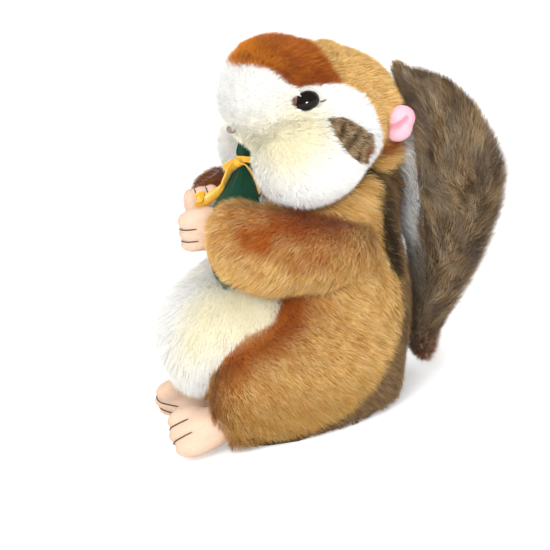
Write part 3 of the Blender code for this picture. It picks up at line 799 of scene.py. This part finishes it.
COATS = {
    "body": LONG._replace(growth=grow_back),
    "head_back": HAIR._replace(growth=grow_nape),
    "forehead_cap": HAIR._replace(length=5.0 * MM, sink=1.8 * MM, flow=flow_cap, contrast=0.07),
    "arm_left": LONG._replace(flow=flow_arm, colour=colour_arm, growth=grow_arm),
    "arm_right": LONG._replace(density=6 * PER_MM2, flow=flow_arm, colour=colour_arm),
    "belly_panel": LONG._replace(length=6.6 * MM, sink=2.1 * MM, density=6 * PER_MM2, pull=0.22,
                                 contrast=0.02, flow=flow_front, colour=colour_front,
                                 growth=grow_front),
    "face": WHITE_HAIR,
    "cheek_left": CHEEK_HAIR,
    "cheek_right": CHEEK_HAIR,
    "cheek_patch_left": CHEEK_HAIR._replace(contrast=0.12),
    "cheek_patch_right": CHEEK_HAIR._replace(contrast=0.12),
    "back_stripe_left": LONG._replace(flow=flow_down),
    "back_stripe_right": LONG._replace(flow=flow_down),
    "tail_back": TAIL_HAIR,
    "tail_front": TAIL_HAIR._replace(length=6 * MM, sink=3.0 * MM, density=4 * PER_MM2, lean=0.6,
                                     contrast=0.06, colour=colour_tail_front, growth=grow_strip),
    "seat_panel": LONG._replace(length=2.4 * MM, sink=0.6 * MM, density=1.5 * PER_MM2,
                                width=0.3 * MM, colour=colour_base_and_shadow),
}


# Materials

def new_material(name):
    """A material with its nodes, its links and its shader."""
    made = bpy.data.materials.new(name)
    made.use_nodes = True
    nodes = made.node_tree.nodes
    return made, nodes, made.node_tree.links, nodes["Principled BSDF"]


def texture_node(nodes, links, kind, scale):
    """A texture in the object's own space."""
    coordinates = nodes.new("ShaderNodeTexCoord")
    texture = nodes.new(kind)
    texture.inputs["Scale"].default_value = scale
    links.new(coordinates.outputs["Object"], texture.inputs["Vector"])
    return texture


def noise_socket(nodes, links, scale):
    """Noise from 0 to 1."""
    noise = texture_node(nodes, links, "ShaderNodeTexNoise", scale)
    noise.inputs["Detail"].default_value = 3.0
    return noise.outputs["Fac"]


def stretched(nodes, links, value, low, high, first=0.0, last=1.0):
    """A value that runs from first to last, made to run from low to high."""
    spread = nodes.new("ShaderNodeMapRange")
    for name, number in (("From Min", first), ("From Max", last), ("To Min", low),
                         ("To Max", high)):
        spread.inputs[name].default_value = number
    links.new(value, spread.inputs["Value"])
    return spread.outputs["Result"]


def blended(nodes, links, factor, first, second):
    """Colours from first to second along a factor."""
    ramp = nodes.new("ShaderNodeValToRGB")
    for element, colour in zip(ramp.color_ramp.elements, (first, second)):
        element.color = (*colour, 1)
    links.new(factor, ramp.inputs["Fac"])
    return ramp.outputs["Color"]


def speckled(nodes, links, colour_socket, scale, low, high):
    """The colour made a little lighter and darker by fine noise."""
    noise = noise_socket(nodes, links, scale)
    scaled = nodes.new("ShaderNodeVectorMath")
    scaled.operation = "SCALE"
    links.new(colour_socket, scaled.inputs[0])
    links.new(stretched(nodes, links, noise, low, high, 0.3, 0.7), scaled.inputs["Scale"])
    return scaled.outputs["Vector"]


def rough_spread(nodes, links, shader, scale, low, high):
    """Roughness that varies between two values."""
    noise = noise_socket(nodes, links, scale)
    links.new(stretched(nodes, links, noise, low, high), shader.inputs["Roughness"])


def bumped(nodes, links, shader, height, distance, strength=0.6):
    """Bump from a height socket."""
    bump = nodes.new("ShaderNodeBump")
    bump.inputs["Strength"].default_value = strength
    bump.inputs["Distance"].default_value = distance
    links.new(height, bump.inputs["Height"])
    links.new(bump.outputs["Normal"], shader.inputs["Normal"])


def pile_material(name, sheen=0.08, low=0.92, high=1.08):
    """Plush or brushed pile, coloured strand by strand."""
    made, nodes, links, shader = new_material(name)
    stored = nodes.new("ShaderNodeVertexColor")
    stored.layer_name = "pile_colour"
    links.new(speckled(nodes, links, stored.outputs["Color"], 900, low, high),
              shader.inputs["Base Color"])
    rough_spread(nodes, links, shader, 400, 0.55, 0.80)
    shader.inputs["Specular IOR Level"].default_value = 0.2
    shader.inputs["Sheen Weight"].default_value = sheen
    shader.inputs["Sheen Roughness"].default_value = 0.45
    return made


def satin_material():
    """Golden yellow satin: fine weft lines across the ribbon and a soft shine."""
    made, nodes, links, shader = new_material("ribbon_satin")
    wave = texture_node(nodes, links, "ShaderNodeTexWave", 900)
    wave.inputs["Distortion"].default_value = 1.5
    yellow = blended(nodes, links, noise_socket(nodes, links, 260), tone(222, 150, 20),
                     tone(255, 206, 60))
    links.new(speckled(nodes, links, yellow, 1500, 0.94, 1.06), shader.inputs["Base Color"])
    rough_spread(nodes, links, shader, 500, 0.30, 0.45)
    bumped(nodes, links, shader, wave.outputs["Fac"], 0.00004, 0.4)
    shader.inputs["Sheen Weight"].default_value = 0.3
    return made


def bead_material():
    """Black glossy bead, faintly brown in the light."""
    made, nodes, links, shader = new_material("eye_bead")
    black = blended(nodes, links, noise_socket(nodes, links, 300), (0.002, 0.002, 0.002),
                    (0.010, 0.006, 0.004))
    links.new(black, shader.inputs["Base Color"])
    rough_spread(nodes, links, shader, 200, 0.03, 0.07)
    shader.inputs["Specular IOR Level"].default_value = 0.22
    return made


def thread_material(name, dark, light):
    """Twisted thread in two near tones."""
    made, nodes, links, shader = new_material(name)
    wave = texture_node(nodes, links, "ShaderNodeTexWave", 700)
    links.new(blended(nodes, links, wave.outputs["Fac"], dark, light),
              shader.inputs["Base Color"])
    rough_spread(nodes, links, shader, 600, 0.55, 0.75)
    bumped(nodes, links, shader, wave.outputs["Fac"], 0.00005)
    return made


# Smooth stuffed forms

def tilt_matrix(degrees):
    """Rows turn a point into the axes of a lump tilted about X."""
    turn = math.radians(degrees)
    return np.array(((1, 0, 0),
                     (0, math.cos(turn), math.sin(turn)),
                     (0, -math.sin(turn), math.cos(turn))))


def lump_distance(points, lumps, blend):
    """Rough distance from each point to the melted lumps, below zero inside."""
    total = np.zeros(len(points))
    for lump in lumps:
        local = (points - np.array(lump.centre)) @ tilt_matrix(lump.tilt).T
        radii = np.array(lump.radii)
        reach = np.linalg.norm(local / radii, axis=1) + 1e-9
        slope = np.linalg.norm(local / radii ** 2, axis=1) + 1e-9
        total += np.exp(-reach * (reach - 1) / slope / blend)
    return -blend * np.log(total)


def reach_of(directions, heart, lumps, blend):
    """How far the melted form reaches from its heart along each direction."""
    steps = np.linspace(0.001, 0.041, 81)
    outer = np.full(len(directions), steps[-1])
    inner = np.zeros(len(directions))
    found = np.zeros(len(directions), bool)
    for far, near in zip(steps[:0:-1], steps[-2::-1]):
        full = lump_distance(heart + directions * near, lumps, blend) < 0
        first = full & ~found
        outer[first] = far
        inner[first] = near
        found |= full
    for _ in range(16):
        middle = (outer + inner) / 2
        full = lump_distance(heart + directions * middle[:, None], lumps, blend) < 0
        inner = np.where(full, middle, inner)
        outer = np.where(full, outer, middle)
    return (outer + inner) / 2


def globe(segments, rings):
    """Directions and triangles of a round grid."""
    maker = bmesh.new()
    bmesh.ops.create_uvsphere(maker, u_segments=segments, v_segments=rings, radius=1)
    points, faces = arrays_of(maker)
    return unit(points), faces


def stuffed_arrays(lumps, heart, blend, segments=64, rings=40):
    """Points and triangles of a smooth stuffed form."""
    directions, faces = globe(segments, rings)
    heart = np.array(heart, float)
    points = heart + directions * reach_of(directions, heart, lumps, blend)[:, None]
    points[:, 2] = np.maximum(points[:, 2], 0)
    return points, faces


def press_out(points, neighbours, meshes, gap=0.15 * MM):
    """Move points that lie inside a neighbour onto its surface."""
    for name in neighbours:
        for index in np.flatnonzero(inside(meshes[name], points)):
            place, normal, _, _ = meshes[name][2].find_nearest(Vector(points[index]))
            points[index] = place + normal * gap
    return points


def row_of(lump, step, count=3):
    """Copies of a finger or toe, side by side about the middle one."""
    copies = []
    for index in range(count):
        offset = index - (count - 1) / 2
        place = [a + b * offset for a, b in zip(lump.centre, step)]
        place[1] = lump.centre[1] + step[1] * abs(offset) if step[0] else place[1]
        copies.append(Lump(tuple(place), lump.radii, lump.tilt))
    return copies


def sided(lump, sign):
    """A lump of the left side, or its copy on the right."""
    return Lump((lump.centre[0] * sign, *lump.centre[1:]), lump.radii, lump.tilt)


def as_solid(name, points, faces):
    """A form of this script, as the fur functions take it."""
    crosses = face_crosses(points, faces)
    tree = BVHTree.FromPolygons(points.tolist(), faces.tolist())
    areas = np.linalg.norm(crosses, axis=1) / 2
    return Solid(name, points, faces, tree, np.zeros(len(points), bool), areas,
                 smooth_normals(points, faces, crosses))


def flow_any(points):
    """Short pile has no set lie; it leans a little forward and down."""
    return repeated((0.1, -0.6, -0.5), points)


PILE = Coat(length=0.9 * MM, sink=0.35 * MM, density=6 * PER_MM2, lean=0.45, frizz=0.5,
            width=0.19 * MM, clump=6, pull=0.1, contrast=0.03, flow=flow_any, colour=colour_paw)


def piled(node, points, faces, coat, finish, meshes, seed, in_head=False):
    """A form with short brushed pile that replaces its node."""
    form = as_solid(node, points, faces)
    return furred(node, coat, finish, {node: form}, meshes, (), seed, in_head)


def tube_faces(rings, sides, base=0):
    """Triangles between rings of points that follow one another."""
    faces = []
    for ring in range(rings - 1):
        for side in range(sides):
            a = base + ring * sides + side
            b = base + ring * sides + (side + 1) % sides
            faces += [(a, b, b + sides), (a, b + sides, a + sides)]
    return faces


def sweep(name, paths, radius, sides=6):
    """Round threads along paths of points, tapering at both ends."""
    points, faces = [], []
    for path in paths:
        path = np.array(path)
        ahead = unit(np.gradient(path, axis=0))
        across = unit(np.cross(ahead, (0.31, 0.22, 0.92)))
        beside = np.cross(ahead, across)
        base = len(points)
        for index, centre in enumerate(path):
            near_end = min(index, len(path) - 1 - index)
            reach = radius * (0.35 if near_end == 0 else 1)
            for turn in np.linspace(0, 2 * math.pi, sides, endpoint=False):
                points.append(centre + (across[index] * math.cos(turn)
                                        + beside[index] * math.sin(turn)) * reach)
        faces += tube_faces(len(path), sides, base)
        last = base + (len(path) - 1) * sides
        for side in range(1, sides - 1):
            faces += [(base, base + side + 1, base + side), (last, last + side, last + side + 1)]
    return fill_mesh(name, np.array(points), np.array(faces))


def crease_path(tree, centre, forward, side, start, end, lift, count=13):
    """A line laid on a form, in the plane of two directions, from one angle to another."""
    path = []
    forward, side = Vector(forward).normalized(), Vector(side).normalized()
    for angle in np.linspace(math.radians(start), math.radians(end), count):
        out = forward * math.cos(angle) + side * math.sin(angle)
        place, normal, _, _ = tree.ray_cast(Vector(centre) + out * 0.03, -out)
        if place is not None:
            path.append(place + normal * lift)
    return path


def crease_centres(lump, step):
    """Middles of the two creases between three fingers or toes."""
    row = row_of(lump, step)
    return [tuple((a + b) / 2 for a, b in zip(first.centre, second.centre))
            for first, second in zip(row, row[1:])]


def build_paws(meshes):
    """Two paws with three stitched fingers each."""
    finish = pile_material("paw_pile", 0.15, 0.97, 1.03)
    thread = thread_material("dark_thread", tone(40, 26, 20), tone(80, 56, 44))
    for side, palm, finger, step, forward, facing, reach in (
            ("left", LEFT_PALM, LEFT_FINGER, LEFT_FINGER_STEP, (0, -1, 0), (1, 0, 0), (5, 88)),
            ("right", RIGHT_PALM, RIGHT_FINGER, RIGHT_FINGER_STEP, (0, 0, 1), (1, 0, 0),
             (5, 75))):
        lumps = [palm, *row_of(finger, step)]
        points, faces = stuffed_arrays(lumps, palm.centre, PAW_BLEND)
        node = "paw_" + side
        points = press_out(points, ("pouch", "belly_panel"), meshes)
        tree = BVHTree.FromPolygons(points.tolist(), faces.tolist())
        paths = [crease_path(tree, centre, forward, facing, *reach, 0.10 * MM)
                 for centre in crease_centres(finger, step)]
        place_trim(sweep(node + "_stitches", paths, 0.24 * MM), thread)
        piled(node, points, faces, PILE, finish, meshes, SEEDS["paw"])


def build_feet(meshes):
    """Two feet with three stitched toes each."""
    finish = pile_material("foot_pile", 0.15, 0.97, 1.03)
    thread = thread_material("toe_thread", tone(40, 26, 20), tone(80, 56, 44))
    for side, sign in (("left", 1), ("right", -1)):
        form = [sided(lump, sign) for lump in (SOLE, *row_of(TOE, TOE_STEP))]
        points, faces = stuffed_arrays(form, form[0].centre, FOOT_BLEND)
        node = "foot_" + side
        points = press_out(points, ("body", "belly_panel", "seat_panel"), meshes)
        tree = BVHTree.FromPolygons(points.tolist(), faces.tolist())
        paths = [crease_path(tree, (x * sign, y, z), (0, -1, 0), (0.77 * sign, 0, 0.64),
                             -90, 95, 0.10 * MM, 25)
                 for x, y, z in crease_centres(TOE, TOE_STEP)]
        place_trim(sweep(node + "_stitches", paths, 0.26 * MM), thread)
        piled(node, points, faces, PILE, finish, meshes, SEEDS["foot"])


def build_ears(meshes):
    """Two folded pink ears."""
    finish = pile_material("ear_pile", 0.2, 0.96, 1.04)
    coat = PILE._replace(colour=colour_ear)
    for side, sign in (("left", 1), ("right", -1)):
        lumps = [sided(lump, sign) for lump in EAR]
        heart = (np.array(lumps[0].centre) + np.array(lumps[1].centre)) / 2
        points, faces = stuffed_arrays(lumps, heart, EAR_BLEND)
        outward = soft_step(points[:, 0] * sign, 0.024, 0.028)
        fold = near_line(points, EAR_CREASE, 1.1 * MM)
        points[:, 0] -= sign * outward * fold * 1.6 * MM
        piled("ear_" + side, from_head(points), faces, coat, finish, meshes, SEEDS["ear"], True)


def build_eyes(meshes):
    """Two glossy beads, each with a felt lid in front and a lash behind."""
    bead = bead_material()
    lid_finish = pile_material("lid_felt", 0.1, 0.9, 1.1)
    lash_thread = thread_material("lash_thread", tone(24, 18, 16), tone(60, 44, 36))
    for side, sign in (("left", 1), ("right", -1)):
        eye, lid = sided(EYE, sign), sided(EYELID, sign)
        points, faces = stuffed_arrays([eye], eye.centre, BEAD_BLEND, 48, 32)
        ball = fill_mesh("eye_bead_" + side, from_head(points), faces)
        place_trim(ball, bead, "eye_" + side)
        points, faces = stuffed_arrays([lid], lid.centre, BEAD_BLEND, 32, 20)
        points = press_out(from_head(points), ("eye_" + side,), meshes, 0.05 * MM)
        colours = repeated(tone(104, 72, 66), points)
        felt = fill_mesh("eyelid_felt_" + side, points, faces, colours)
        place_trim(felt, lid_finish, "eyelid_" + side)
        corner = np.array(((0.0300, -0.0098, 0.1494), (0.0304, -0.0086, 0.1494),
                           (0.0307, -0.0074, 0.1496), (0.0308, -0.0062, 0.1499)))
        corner[:, 0] *= sign
        place_trim(sweep("lash_" + side, [from_head(corner)], 0.38 * MM), lash_thread)


def build_nose():
    """A small stitched nose."""
    points, faces = stuffed_arrays([NOSE], NOSE.centre, BEAD_BLEND, 32, 20)
    nose = fill_mesh("nose_stitches", from_head(points), faces)
    thread = thread_material("nose_thread", tone(122, 104, 96), tone(162, 146, 138))
    place_trim(nose, thread, "nose")


# Pouch and ribbon

def pouch_axes():
    """The way that the pouch points, and two directions square to it."""
    axis = unit(np.array(RUFF_TIP) - np.array(POUCH_FOOT))
    across = unit(np.cross(axis, (1, 0, 0)))
    return axis, across, np.cross(axis, across)


def pouch_stations():
    """Centres and radii along the pouch."""
    foot, neck, tip = (np.array(point) for point in (POUCH_FOOT, POUCH_NECK, RUFF_TIP))
    places = [(foot + (neck - foot) * place, radius) for place, radius in POUCH_PROFILE]
    places += [(neck + (tip - neck) * place, radius) for place, radius in RUFF_PROFILE]
    return places


def smooth_path(points, count):
    """A rounded line through the given points."""
    points = np.array(points, float)
    padded = np.vstack((2 * points[0] - points[1], points, 2 * points[-1] - points[-2]))
    found = []
    for place in np.linspace(0, len(points) - 1, count):
        index = min(int(place), len(points) - 2)
        t = place - index
        a, b, c, d = padded[index:index + 4]
        found.append(0.5 * (2 * b + (c - a) * t + (2 * a - 5 * b + 4 * c - d) * t * t
                            + (3 * b - a - 3 * c + d) * t ** 3))
    return np.array(found)


def pleated_arrays(around=96, lengthwise=70):
    """The felt pouch with soft folds that deepen towards its tied neck."""
    stations = [np.append(centre, radius) for centre, radius in pouch_stations()]
    line = smooth_path(stations, lengthwise)
    _, across, beside = pouch_axes()
    turns = np.linspace(0, 2 * math.pi, around, endpoint=False)
    rings = []
    for row in line:
        radius = max(row[3], 0.001)
        depth = 0.12 * max(0, 1 - radius / 0.0125)
        fine = 0.05 * max(0, 1 - radius / 0.011) * np.cos(17 * turns + 0.6)
        reach = radius * (1 + depth * np.cos(POUCH_FOLDS * turns) + fine)
        rings.append(row[:3] + np.outer(np.cos(turns) * reach, across)
                     + np.outer(np.sin(turns) * reach, beside))
    points = np.vstack(rings + [line[:1, :3], line[-1:, :3]])
    points += mottle(points, 0.008, 21)[:, None] * 0.12 * MM
    faces = tube_faces(lengthwise, around)
    last = (lengthwise - 1) * around
    for index in range(around):
        after = (index + 1) % around
        faces.append((after, index, len(points) - 2))
        faces.append((last + index, last + after, len(points) - 1))
    return points, np.array(faces)


def build_pouch(meshes):
    """The green felt pouch with its fibres."""
    coat = PILE._replace(length=0.7 * MM, sink=0.2 * MM, density=4 * PER_MM2, frizz=0.8,
                         colour=colour_felt)
    points, faces = pleated_arrays()
    crosses = face_crosses(points, faces)
    middle = points.mean(axis=0)
    if ((points[faces].mean(axis=1) - middle) * crosses).sum() < 0:
        faces = faces[:, ::-1]
    finish = pile_material("green_felt", 0.2, 0.8, 1.2)
    piled("pouch", points, faces, coat, finish, meshes, SEEDS["pouch"])


def strip_arrays(path, width, across, curl=0.0, count=40, columns=7):
    """Points and triangles of a thin flat ribbon along a path."""
    line = smooth_path(path, count)
    ahead = unit(np.gradient(line, axis=0))
    across = np.array(across, float)
    side = unit(across - ahead * (ahead @ across)[:, None])
    thin = np.cross(ahead, side)
    grid = []
    for share in np.linspace(-0.5, 0.5, columns):
        cup = curl * (share * share * 4 - 1)
        grid.append(line + side * share * width + thin * cup)
    top = np.array(grid) + thin * RIBBON_THICKNESS / 2
    bottom = np.array(grid) - thin * RIBBON_THICKNESS / 2
    points = np.vstack((top.reshape(-1, 3), bottom.reshape(-1, 3)))
    faces = []
    half = columns * count
    for column in range(columns - 1):
        for row in range(count - 1):
            a = column * count + row
            b = a + count
            faces += [(a, b, b + 1), (a, b + 1, a + 1)]
            faces += [(half + b, half + a, half + a + 1), (half + b, half + a + 1, half + b + 1)]
    rim = [column * count for column in range(columns)]
    rim += [(columns - 1) * count + row for row in range(1, count)]
    rim += [column * count + count - 1 for column in range(columns - 2, -1, -1)]
    rim += [row for row in range(count - 2, 0, -1)]
    for a, b in zip(rim, rim[1:] + rim[:1]):
        faces += [(b, a, half + a), (b, half + a, half + b)]
    return points, np.array(faces)


def band_path():
    """The circle of ribbon round the pouch's neck."""
    axis, across, beside = pouch_axes()
    turns = np.linspace(0, 2 * math.pi, 25)
    radius = BAND_RADIUS + RIBBON_THICKNESS / 2
    circle = np.array(POUCH_NECK) + radius * (np.outer(np.cos(turns), across)
                                              + np.outer(np.sin(turns), beside))
    return circle, axis


def build_ribbon(meshes):
    """One length of satin: band, knot, two tails and a folded end."""
    circle, axis = band_path()
    knot_points, knot_faces = stuffed_arrays([KNOT], KNOT.centre, BEAD_BLEND, 32, 20)
    parts = [strip_arrays(circle, BAND_WIDTH, axis, 0.0, 60),
             strip_arrays(FRONT_TAIL, RIBBON_WIDTH, FACING_SIDE, 0.35 * MM),
             strip_arrays(SIDE_TAIL, RIBBON_WIDTH * 0.8, (1, 0.2, 0), 0.25 * MM),
             strip_arrays(FOLDED_END, RIBBON_WIDTH * 0.7, FACING_SIDE, -0.3 * MM, 24),
             (knot_points + mottle(knot_points, 0.003, 22)[:, None] * 0.2 * MM, knot_faces)]
    points, faces, start = [], [], 0
    for part_points, part_faces in parts:
        points.append(part_points)
        faces.append(part_faces + start)
        start += len(part_points)
    points = press_out(np.vstack(points), ("pouch",), meshes)
    ribbon = fill_mesh("satin_ribbon", points, np.vstack(faces))
    place_trim(ribbon, satin_material(), "ribbon")


# Stage

def build_camera():
    """Long lens at the photograph's angle, rolled as the toy leans in it."""
    direction = Vector(TOWARDS_CAMERA)
    level = Vector((math.cos(AZIMUTH), math.sin(AZIMUTH), 0))
    rise = direction.cross(level)
    right = level * math.cos(ROLL) - rise * math.sin(ROLL)
    upward = level * math.sin(ROLL) + rise * math.cos(ROLL)
    data = bpy.data.cameras.new("camera")
    data.sensor_width = 36
    data.lens = 36 * DISTANCE / FRAME_WIDTH
    data.clip_end = 20
    camera = add_object("camera", data)
    turn = Matrix((right, upward, direction)).transposed().to_4x4()
    camera.matrix_world = Matrix.Translation(Vector(TARGET) + direction * DISTANCE) @ turn
    bpy.context.scene.camera = camera


def add_lamp(name, place, size, power, spark=False, aim=(0, 0.02, 0.08)):
    """A round area lamp. The spark lights only what is glossy, and the others the rest."""
    data = bpy.data.lights.new(name, "AREA")
    data.shape = "DISK"
    data.size = size
    data.energy = power
    lamp = add_object(name, data)
    lamp.location = place
    lamp.visible_glossy = spark
    lamp.visible_diffuse = not spark
    lamp.rotation_euler = (Vector(aim) - Vector(place)).to_track_quat("-Z", "Y").to_euler()


def build_world():
    """Even white light that shows as a white backdrop."""
    world = bpy.data.worlds.new("studio")
    world.use_nodes = True
    nodes, links = world.node_tree.nodes, world.node_tree.links
    background = nodes["Background"]
    background.inputs["Color"].default_value = (1, 1, 1, 1)
    path = nodes.new("ShaderNodeLightPath")
    links.new(stretched(nodes, links, path.outputs["Is Camera Ray"], 0.44, 1.0),
              background.inputs["Strength"])
    bpy.context.scene.world = world


def build_floor():
    """A plain pale floor."""
    maker = bmesh.new()
    bmesh.ops.create_grid(maker, x_segments=1, y_segments=1, size=4)
    mesh = bpy.data.meshes.new("floor")
    maker.to_mesh(mesh)
    maker.free()
    floor = add_object("floor", mesh)
    made, nodes, links, shader = new_material("pale_floor")
    links.new(blended(nodes, links, noise_socket(nodes, links, 30), (0.93, 0.93, 0.93),
                      (0.95, 0.95, 0.95)), shader.inputs["Base Color"])
    shader.inputs["Roughness"].default_value = 0.9
    shader.inputs["Specular IOR Level"].default_value = 0.1
    path = nodes.new("ShaderNodeLightPath")
    links.new(stretched(nodes, links, path.outputs["Is Camera Ray"], 0.0, 0.35),
              shader.inputs["Emission Strength"])
    shader.inputs["Emission Color"].default_value = (1, 1, 1, 1)
    mesh.materials.append(made)


def build_stage():
    """Camera, lamps, backdrop and floor."""
    build_camera()
    add_lamp("key_lamp", (1.4, -0.5, 1.1), 1.1, 25)
    add_lamp("fill_lamp", (1.1, 1.2, 0.7), 1.2, 11)
    add_lamp("front_lamp", (0.2, -1.5, 0.6), 1.0, 4)
    add_lamp("top_lamp", (-0.2, 0.0, 1.6), 1.2, 11)
    add_lamp("spark_lamp", (1.25, 0.12, 0.20), 0.36, 20, True)
    build_world()
    build_floor()
    bpy.context.scene.view_settings.view_transform = "Standard"


def clear_places():
    """Round places where the fur is kept short so that trims stay in view."""
    places = []
    for sign in (1, -1):
        for lump, radius, least in ((EYE, 5.8 * MM, 0.18), (EYELID, 2.6 * MM, 0.25)):
            places.append((from_head([sided(lump, sign).centre])[0], radius, least))
    places.append((from_head([NOSE.centre])[0], 3.4 * MM, 0.3))
    places.append((KNOT.centre, 6 * MM, 0.4))
    return places


def build_fur(solids, meshes):
    """All the furred panels."""
    clearings = clear_places()
    for order, (node, coat) in enumerate(COATS.items()):
        finish = pile_material(node + "_plush")
        seed = SEEDS["first_panel"] + order
        furred(node, coat, finish, solids, meshes, clearings, seed, node in HEAD_NODES)


def main():
    """The whole toy and its stage."""
    solids, meshes = read_solids()
    build_fur(solids, meshes)
    build_paws(meshes)
    build_feet(meshes)
    build_ears(meshes)
    build_eyes(meshes)
    build_nose()
    build_pouch(meshes)
    build_ribbon(meshes)
    build_stage()


main()
